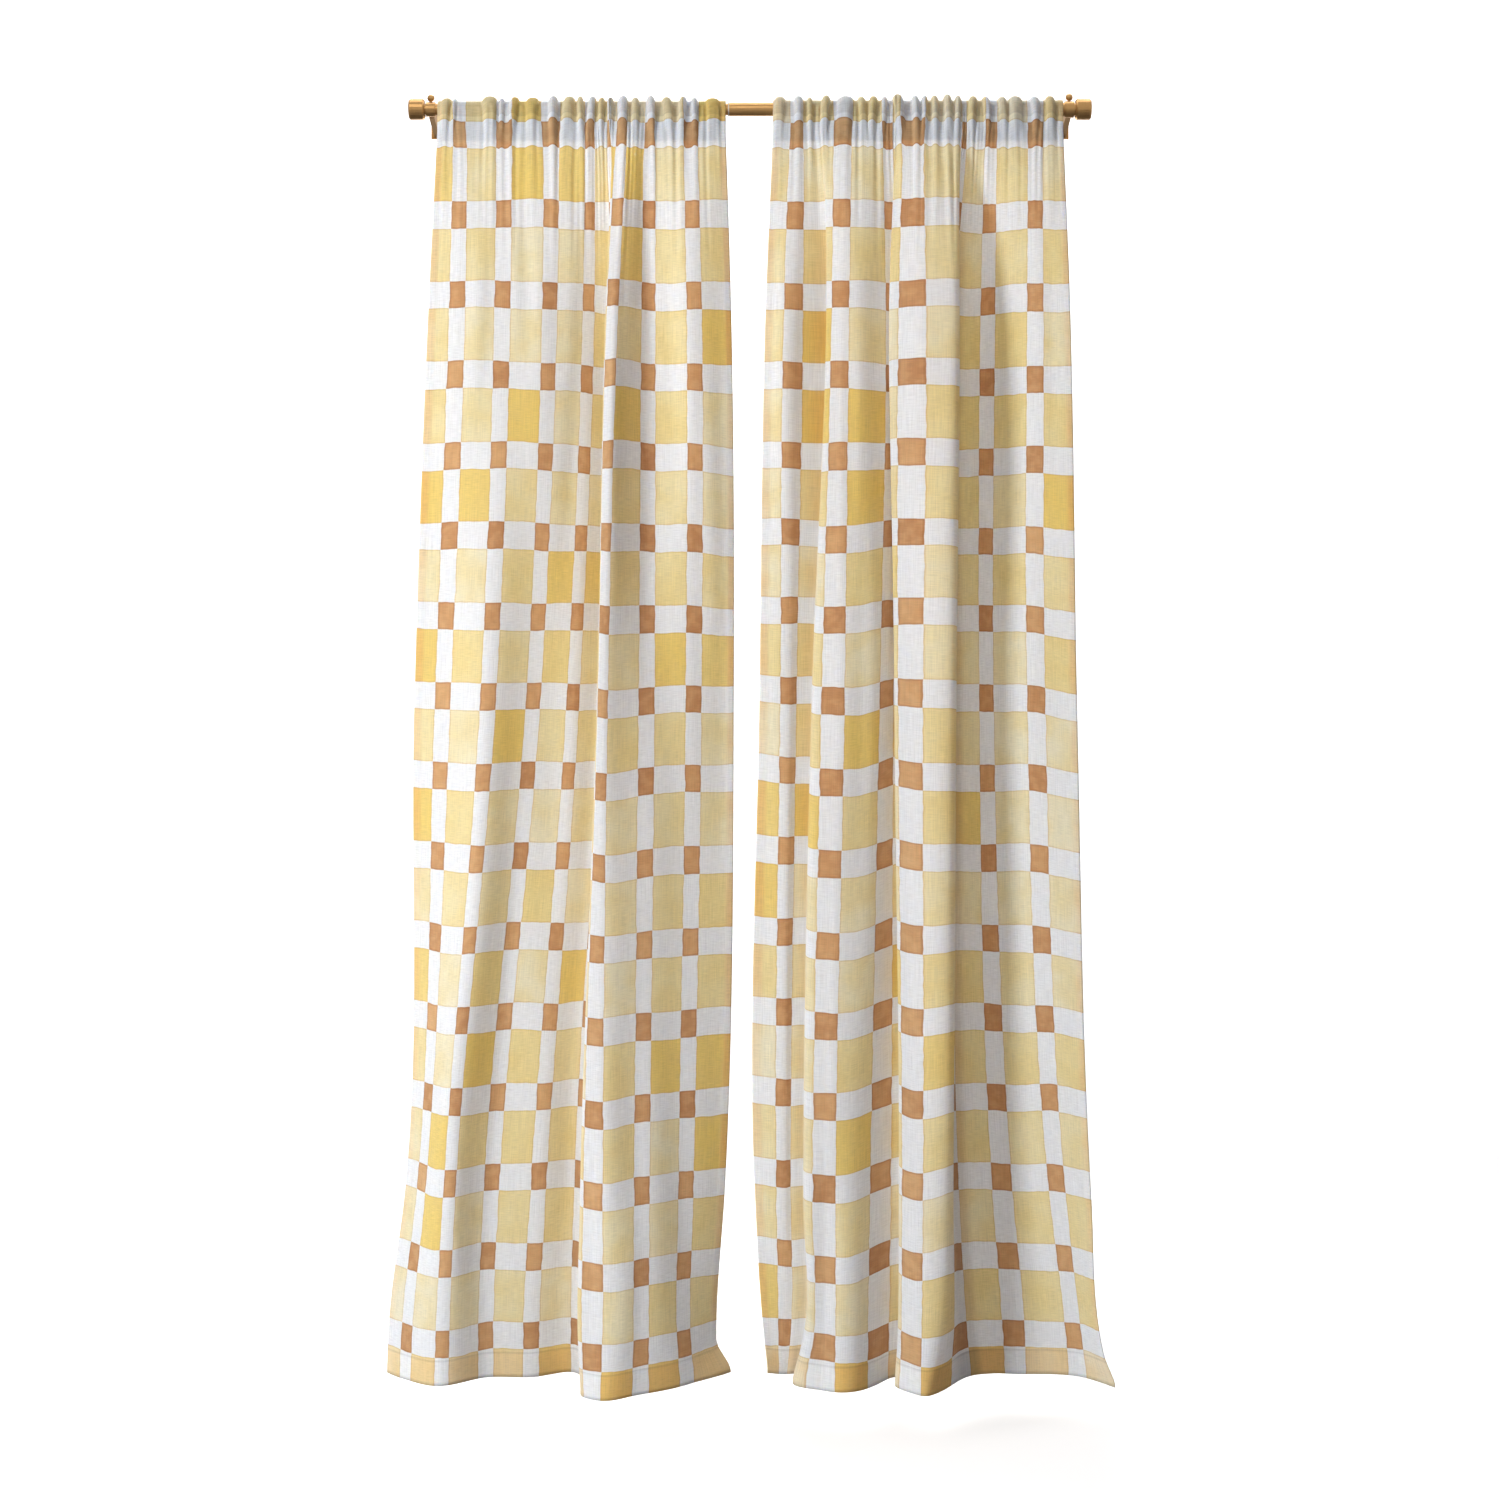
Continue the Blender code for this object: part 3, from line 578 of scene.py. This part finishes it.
def stitch_tree(finish):
    """Stitches that lie end to end along each line of the mesh that carries this modifier."""
    tree = bpy.data.node_groups.new("stitches along seams", "GeometryNodeTree")
    tree.interface.new_socket("Seams", in_out="INPUT", socket_type="NodeSocketGeometry")
    for label, value in STITCH_MEASURES.items():
        socket = tree.interface.new_socket(label, in_out="INPUT", socket_type="NodeSocketFloat")
        socket.default_value = value * MM
    seed = tree.interface.new_socket("Seed", in_out="INPUT", socket_type="NodeSocketInt")
    seed.default_value = STITCH_SEED
    tree.interface.new_socket("Stitches", in_out="OUTPUT", socket_type="NodeSocketGeometry")

    def node(kind, settings=None, **values):
        made = tree.nodes.new(kind)
        for key, value in (settings or {}).items():
            setattr(made, key, value)
        for key, value in values.items():
            socket = made.inputs[key]
            if isinstance(value, bpy.types.NodeSocket):
                tree.links.new(value, socket)
            else:
                socket.default_value = value
        return made

    given = tree.nodes.new("NodeGroupInput").outputs
    line = node("GeometryNodeMeshToCurve", Mesh=given["Seams"])
    spaced = node(
        "GeometryNodeResampleCurve", dict(mode="LENGTH"), Curve=line.outputs[0], Length=given["Pitch"]
    )
    tangent = node("GeometryNodeInputTangent")
    facing = node(
        "FunctionNodeAlignRotationToVector", dict(axis="X"), Vector=tangent.outputs[0]
    )
    uneven = node("FunctionNodeRandomValue", dict(data_type="FLOAT"), Seed=given["Seed"])
    uneven.inputs[2].default_value, uneven.inputs[3].default_value = STITCH_UNEVENNESS
    long_size = node("ShaderNodeMath", dict(operation="MULTIPLY"))
    tree.links.new(given["Length"], long_size.inputs[0])
    tree.links.new(uneven.outputs[1], long_size.inputs[1])
    size = node(
        "ShaderNodeCombineXYZ", X=long_size.outputs[0], Y=given["Thickness"], Z=given["Thickness"]
    )
    bead = node("GeometryNodeMeshUVSphere", Segments=6, Rings=4, Radius=0.5)
    spread = node(
        "GeometryNodeInstanceOnPoints",
        Points=spaced.outputs[0],
        Instance=bead.outputs[0],
        Rotation=facing.outputs[0],
        Scale=size.outputs[0],
    )
    real = node("GeometryNodeRealizeInstances", Geometry=spread.outputs[0])
    smooth = node("GeometryNodeSetShadeSmooth", Geometry=real.outputs[0])
    painted = node("GeometryNodeSetMaterial", Geometry=smooth.outputs[0], Material=finish)
    tree.links.new(painted.outputs[0], tree.nodes.new("NodeGroupOutput").inputs[0])
    return tree


def row_normals(drape, flat, depth):
    """A row of the front layer, and the direction out of its face at each of its points."""
    row = drape.front_row(flat, depth)
    lower = drape.front_row(flat, depth + 2.0)
    out = np.cross(np.gradient(row, axis=0), row - lower)
    return row, out / np.linalg.norm(out, axis=1, keepdims=True)


def make_stitching(name, drape, tree, finish):
    """Rows of stitches at the pocket's seam, the bottom hem and the side hems. They lie on the
    back of the cloth, where its edges are turned."""
    flat = np.linspace(3.0, drape.width - 3.0, 400)
    lines = []
    for depth, thickness in ((POCKET_SEAM, SHEET_THICKNESS), (HEM_SEAM, HEM_THICKNESS)):
        row, out = row_normals(drape, flat, depth)
        lines.append(row - out * (0.5 * thickness + STITCH_LIFT) * MM)
    depths = np.linspace(POCKET_LENGTH + 4.0, CLOTH_LENGTH - HEM_HEIGHT - 2.0, 260)
    for seam in (SIDE_SEAM, drape.width - SIDE_SEAM):
        threads = np.array([seam - 1.0, seam, seam + 1.0])
        edge = []
        for depth in depths:
            row, out = row_normals(drape, threads, depth)
            edge.append(row[1] - out[1] * (0.5 * HEM_THICKNESS + STITCH_LIFT) * MM)
        lines.append(np.array(edge))
    corners, edges = [], []
    for line in lines:
        first = len(corners)
        corners += line.tolist()
        edges += [(i, i + 1) for i in range(first, len(corners) - 1)]
    mesh = bpy.data.meshes.new(name)
    mesh.from_pydata(corners, edges, [])
    thread = add_object(name, mesh)
    modifier = thread.modifiers.new("stitches", "NODES")
    modifier.node_group = tree
    named = {item.name: item.identifier for item in tree.interface.items_tree}
    for label, value in STITCH_MEASURES.items():
        modifier[named[label]] = value * MM
    modifier[named["Seed"]] = STITCH_SEED
    return plain_mesh(thread)


def tint(red, green, blue):
    """A colour on a scale of 0 to 255, made linear."""
    parts = [channel / 255.0 for channel in (red, green, blue)]
    return tuple(c / 12.92 if c <= 0.04045 else ((c + 0.055) / 1.055) ** 2.4 for c in parts) + (1.0,)


WHITE_COTTON = tint(250, 250, 250)
LIGHT_OCHRE, DEEP_OCHRE = tint(248, 232, 203), tint(245, 221, 174)
STRONG_OCHRE = tint(243, 207, 128)
OCHRE_BLOTCH = tint(236, 204, 138)
OCHRE_EDGE = tint(208, 166, 98)
LIGHT_BROWN, DEEP_BROWN = tint(211, 170, 126), tint(189, 145, 103)
BROWN_BLOTCH = tint(226, 188, 146)
BROWN_EDGE = tint(158, 110, 70)
DARK_BRASS, LIGHT_BRASS = tint(178, 136, 84), tint(206, 164, 108)
LIGHT_COLLAR, DARK_COLLAR = tint(226, 216, 202), tint(214, 202, 186)
LIGHT_THREAD, DARK_THREAD = tint(240, 236, 226), tint(226, 220, 206)
PALE_PAINT = tint(250, 250, 250)


class Wire:
    """A number in a material's tree. Arithmetic on it adds Math nodes."""

    def __init__(self, finish, socket):
        self.finish = finish
        self.socket = socket

    def math(self, operation, *others):
        values = dict(enumerate((self, *others)))
        return self.finish.node("ShaderNodeMath", dict(operation=operation), values)

    def __add__(self, other):
        return self.math("ADD", other)

    __radd__ = __add__

    def __mul__(self, other):
        return self.math("MULTIPLY", other)

    __rmul__ = __mul__

    def __sub__(self, other):
        return self.math("SUBTRACT", other)

    def __rsub__(self, other):
        return self.finish.node("ShaderNodeMath", dict(operation="SUBTRACT"), {0: other, 1: self})

    def __truediv__(self, other):
        return self.math("DIVIDE", other)

    def __abs__(self):
        return self.math("ABSOLUTE")

    def floor(self):
        return self.math("FLOOR")

    def least(self, other):
        return self.math("MINIMUM", other)

    def most(self, other):
        return self.math("MAXIMUM", other)

    def ramp(self, start, end):
        """0 up to start, 1 from end on and smooth between. Start may be the greater."""
        return self.finish.node(
            "ShaderNodeMapRange",
            dict(interpolation_type="SMOOTHSTEP"),
            {"Value": self, "From Min": start, "From Max": end},
        )


class Finish:
    """A material and the tree behind its Principled shader."""

    def __init__(self, name):
        self.material = bpy.data.materials.new(name)
        self.material.use_nodes = True
        self.tree = self.material.node_tree
        self.shader = self.tree.nodes["Principled BSDF"]

    def node(self, kind, settings=None, values=None, output=0):
        made = self.tree.nodes.new(kind)
        for key, value in (settings or {}).items():
            setattr(made, key, value)
        for key, value in (values or {}).items():
            if isinstance(value, Wire):
                self.tree.links.new(value.socket, made.inputs[key])
            else:
                made.inputs[key].default_value = value
        return Wire(self, made.outputs[output])

    def mix(self, share, first, second, blend="MIX"):
        settings = dict(data_type="RGBA", blend_type=blend)
        return self.node("ShaderNodeMix", settings, {0: share, 6: first, 7: second}, 2)

    def place(self):
        """Where a point is on its own object, in metres."""
        return self.node("ShaderNodeTexCoord", output=3)

    def part(self, vector, index):
        """One of a vector's three numbers."""
        return self.node("ShaderNodeSeparateXYZ", None, {0: vector}, index)

    def vector(self, x, y, z=0.0):
        return self.node("ShaderNodeCombineXYZ", None, {"X": x, "Y": y, "Z": z})

    def noise(self, place, scale=1.0, detail=1.0, dimensions="3D"):
        values = {"Vector": place, "Scale": scale, "Detail": detail}
        return self.node("ShaderNodeTexNoise", dict(noise_dimensions=dimensions), values)

    def flat_noise(self, x, y, detail=1.0):
        return self.noise(self.vector(x, y), 1.0, detail, "2D")

    def chance(self, place):
        """One random number for each whole-numbered place."""
        return self.node("ShaderNodeTexWhiteNoise", dict(noise_dimensions="3D"), {"Vector": place})

    def bump(self, height, distance, strength=1.0):
        return self.node(
            "ShaderNodeBump", None, {"Height": height, "Distance": distance, "Strength": strength}
        )

    def set(self, **values):
        for key, value in values.items():
            socket = self.shader.inputs[key.replace("_", " ")]
            if isinstance(value, Wire):
                self.tree.links.new(value.socket, socket)
            else:
                socket.default_value = value
        return self.material


def printed_sheer(name, width, pitch, narrow, last, seed, fold_shade_strips):
    """Sheer cotton with a hand-painted chequer of wide ochre and small brown cells."""
    finish = Finish(name)
    chart = finish.node("ShaderNodeUVMap", dict(uv_map="cloth"))
    flat = finish.part(chart, 0) * 1000.0
    down = finish.part(chart, 1) * -1000.0

    wide_wobble = finish.flat_noise(flat * 0.011 + seed, down * 0.004, 0.0) - 0.5
    wobble_down = finish.flat_noise(flat * 0.05 + seed, down * 0.02) - 0.5
    wobble_across = finish.flat_noise(flat * 0.02 - seed, down * 0.04) - 0.5
    from_column = (flat - FIRST_COLUMN + wobble_across * COLUMN_WOBBLE) / pitch
    row_wobble = wide_wobble * WIDE_ROW_WOBBLE + wobble_down * ROW_WOBBLE
    from_row = (down - FIRST_ROW + row_wobble) / ROW_PITCH
    column = (from_column + 0.5).floor().least(last)
    row = (from_row + 0.5).floor()
    off_column = abs(from_column - column) * pitch
    off_row = abs(from_row - row) * ROW_PITCH
    past_column = off_column - 0.5 * narrow
    past_row = off_row - 0.5 * SHORT_ROW

    ochre_inside = past_column.least(past_row)
    brown_inside = (past_column * -1.0).least(past_row * -1.0)
    ochre = ochre_inside.ramp(-0.5, 0.5)
    brown = brown_inside.ramp(-0.5, 0.5)

    pick = finish.chance(finish.vector(from_column.floor(), from_row.floor(), seed))
    strong = finish.chance(finish.vector(from_column.floor(), from_row.floor(), seed + 40.0))
    brown_pick = finish.chance(finish.vector(column, row, seed + 20.0))
    blotch = finish.flat_noise(flat * 0.016 + pick * 30.0, down * 0.016, 2.0)
    fine_blotch = finish.flat_noise(flat * 0.06 + seed, down * 0.06)

    ochre_paint = finish.mix(pick.ramp(0.1, 0.95), LIGHT_OCHRE, DEEP_OCHRE)
    ochre_paint = finish.mix(strong.ramp(0.70, 0.92), ochre_paint, STRONG_OCHRE)
    ochre_paint = finish.mix(blotch.ramp(0.3, 0.75) * 0.4, ochre_paint, OCHRE_BLOTCH)
    ochre_edge = 1.0 - ochre_inside.ramp(0.4, 2.6)
    ochre_paint = finish.mix(ochre_edge * 0.5, ochre_paint, OCHRE_EDGE)

    brown_paint = finish.mix(brown_pick, LIGHT_BROWN, DEEP_BROWN)
    brown_paint = finish.mix(fine_blotch.ramp(0.35, 0.7) * 0.28, brown_paint, BROWN_BLOTCH)
    brown_edge = 1.0 - brown_inside.ramp(0.5, 4.0)
    brown_paint = finish.mix(brown_edge * 0.5, brown_paint, BROWN_EDGE)

    threads_down = finish.flat_noise(flat * 0.8, down * 0.02 + seed)
    threads_across = finish.flat_noise(flat * 0.07 + seed, down * 0.8)
    weave = threads_down + threads_across - 1.0

    paint = finish.mix(ochre, WHITE_COTTON, ochre_paint)
    paint = finish.mix(brown, paint, brown_paint)
    edge = flat.least(width - flat)
    side_hem = 1.0 - edge.ramp(SIDE_HEM_WIDTH - 0.8, SIDE_HEM_WIDTH + 0.8)
    hem_top = CLOTH_LENGTH - HEM_HEIGHT
    hem = down.ramp(hem_top - 0.8, hem_top + 0.8)
    # A thin band at the top of the bottom hem, which gets a painted shadow line.
    hem_shadow_line = hem * (1.0 - down.ramp(hem_top + 1.0, hem_top + 5.0))
    doubled = hem.most(side_hem)
    # Painted shade: the doubled hems are painted a little darker, and the thin painted shadow line
    # runs along the top of the bottom hem.
    shade = 1.0 + weave * 0.05 + (fine_blotch - 0.5) * 0.04 - doubled * 0.04 - hem_shadow_line * 0.16
    # Painted shade: each strip of cloth that lies behind a fold is painted darker below the heading.
    for middle, reach in fold_shade_strips:
        painted_fold_shade = 1.0 - abs(flat - middle).ramp(0.3 * reach, reach)
        shade = shade - painted_fold_shade * down.ramp(60.0, 300.0) * 0.24
    paint = finish.mix(1.0, paint, finish.vector(shade, shade, shade), "MULTIPLY")

    # Most of the light is stopped. Paint and doubled cloth stop a little more, and the rod shows
    # through the stretched cloth over it.
    cover = 0.88 + weave * 0.2 + ochre * 0.03 + brown * 0.06 + side_hem * 0.04 + hem * 0.06
    over_rod = abs(down + 2.0).ramp(14.0, 11.0)
    cover = cover - over_rod * 0.24
    return finish.set(
        Base_Color=paint,
        Roughness=0.88,
        Alpha=cover.least(1.0),
        Subsurface_Weight=0.7,
        Subsurface_Radius=(1.0, 0.8, 0.6),
        Subsurface_Scale=0.002,
        Specular_IOR_Level=0.2,
    )


def brushed_brass():
    """Rose-gold brass with a fine brushed grain round the rod."""
    finish = Finish("brushed brass")
    place = finish.place()
    x, y, z = [finish.part(place, index) for index in range(3)]
    grain = finish.noise(finish.vector(x * 2600.0, y * 60.0, z * 60.0), 1.0, 3.0)
    cloud = finish.noise(place, 40.0, 2.0)
    return finish.set(
        Base_Color=finish.mix(grain, DARK_BRASS, LIGHT_BRASS),
        Metallic=1.0,
        Roughness=0.30 + grain * 0.14 + cloud * 0.06,
        Normal=finish.bump(grain, 0.00004, 0.4),
    )


def pale_collar():
    finish = Finish("pale collar")
    cloud = finish.noise(finish.place(), 300.0, 2.0)
    return finish.set(
        Base_Color=finish.mix(cloud, LIGHT_COLLAR, DARK_COLLAR),
        Roughness=0.42 + cloud * 0.1,
    )


def sewing_thread():
    finish = Finish("sewing thread")
    cloud = finish.noise(finish.place(), 900.0, 1.0)
    return finish.set(
        Base_Color=finish.mix(cloud, LIGHT_THREAD, DARK_THREAD),
        Roughness=0.8,
    )


def plain_paint(name, colour, glow):
    """Matt paint that is a little bright of itself, for things round the curtain only."""
    finish = Finish(name)
    return finish.set(
        Base_Color=colour,
        Roughness=0.9,
        Specular_IOR_Level=0.2,
        Emission_Color=colour,
        Emission_Strength=glow,
    )


def backdrop():
    """A pale floor that curves up into a pale wall far behind the curtain."""
    floor = float(cad_low.z) - FLOOR_BELOW
    profile = [(-FLOOR_REACH, floor)]
    for i in range(BEND_STEPS + 1):
        turn = 0.5 * math.pi * i / BEND_STEPS
        back = WALL_AT - WALL_BEND + WALL_BEND * math.sin(turn)
        profile.append((back, floor + WALL_BEND * (1.0 - math.cos(turn))))
    profile.append((WALL_AT, floor + WALL_HEIGHT))
    corners = [(x, y, z) for y, z in profile for x in (-FLOOR_REACH, FLOOR_REACH)]
    faces = [(2 * i, 2 * i + 1, 2 * i + 3, 2 * i + 2) for i in range(len(profile) - 1)]
    mesh = bpy.data.meshes.new("backdrop")
    mesh.from_pydata(corners, [], faces)
    mesh.shade_smooth()
    mesh.materials.append(plain_paint("pale backdrop", PALE_PAINT, BACKDROP_GLOW))
    sweep = add_object("backdrop", mesh)
    sweep.visible_diffuse = False
    sweep.visible_glossy = False


def surround():
    """A pale shell far round the studio, which the camera and the brass see."""
    steps = SHELL_STEPS
    corners, faces = [], []
    for i in range(SHELL_RINGS + 1):
        level = SHELL_START + SHELL_REACH * i / SHELL_RINGS
        side = SHELL_RADIUS * math.cos(level) + 0.01
        height = SHELL_RADIUS * math.sin(level) + SHELL_MIDDLE
        for j in range(steps):
            turn = 2.0 * math.pi * j / steps
            corners.append((side * math.cos(turn), side * math.sin(turn), height))
    for i in range(SHELL_RINGS):
        for j in range(steps):
            k = (j + 1) % steps
            faces.append((i * steps + k, i * steps + j, (i + 1) * steps + j, (i + 1) * steps + k))
    mesh = bpy.data.meshes.new("surround")
    mesh.from_pydata(corners, [], faces)
    mesh.shade_smooth()
    mesh.materials.append(plain_paint("pale surround", PALE_PAINT, SHELL_GLOW))
    shell = add_object("surround", mesh)
    shell.visible_diffuse = False
    shell.visible_shadow = False


def soft_light(name, place, aim, size, power, colour):
    """A rectangular light that faces its aim."""
    lamp = bpy.data.lights.new(name, "AREA")
    lamp.shape = "RECTANGLE"
    lamp.size, lamp.size_y = size
    lamp.energy = power
    lamp.color = colour
    light = add_object(name, lamp)
    light.location = place
    way = np.subtract(aim, place)
    flat_way = math.hypot(way[0], way[1])
    light.rotation_euler = (
        math.atan2(flat_way, -way[2]), 0.0, math.atan2(way[1], way[0]) - 0.5 * math.pi
    )
    return light


def studio():
    world = bpy.data.worlds.new("pale studio")
    bpy.context.scene.world = world
    world.use_nodes = True
    background = world.node_tree.nodes["Background"]
    background.inputs["Color"].default_value = WORLD_COLOUR
    background.inputs["Strength"].default_value = WORLD_STRENGTH
    lights = {row["name"]: soft_light(**row) for row in LIGHTS}
    lights["left key"].visible_glossy = False
    lights["glow from behind"].visible_camera = False
    bpy.context.scene.view_settings.view_transform = "Standard"


def camera():
    lens = bpy.data.cameras.new("camera")
    lens.sensor_width = CAMERA_SENSOR
    lens.lens = CAMERA_LENS
    eye = add_object("camera", lens)
    eye.location = CAMERA_PLACE
    eye.rotation_euler = (0.5 * math.pi, 0.0, 0.0)
    bpy.context.scene.camera = eye


def main():
    brass = brushed_brass()
    collar = pale_collar()
    thread = sewing_thread()
    for name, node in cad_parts.items():
        if not name.endswith("_panel"):
            node.data.materials.clear()
            node.data.materials.append(collar if name == "tube_collar" else brass)

    stitches = stitch_tree(thread)
    for side, threads, pinches, creases, radius, flare, cells in (
        (
            "left", LEFT_THREADS, LEFT_PINCHES, LEFT_CREASES,
            INNER_TUBE_RADIUS, LEFT_FLARE, LEFT_PRINT,
        ),
        (
            "right", RIGHT_THREADS, RIGHT_PINCHES, RIGHT_CREASES,
            OUTER_TUBE_RADIUS, RIGHT_FLARE, RIGHT_PRINT,
        ),
    ):
        drape = Drape(threads, pinches, creases, radius, flare, int(cells["seed"]))
        sheer = printed_sheer(f"{side} printed sheer", drape.width, **cells)
        cloth = make_sheet(f"{side}_sheer", drape, sheer)
        stitching = make_stitching(f"{side}_stitching", drape, stitches, thread)
        for piece in (cloth, stitching):
            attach(piece, "root")
        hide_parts(f"{side}_panel")

    backdrop()
    surround()
    studio()
    camera()


main()
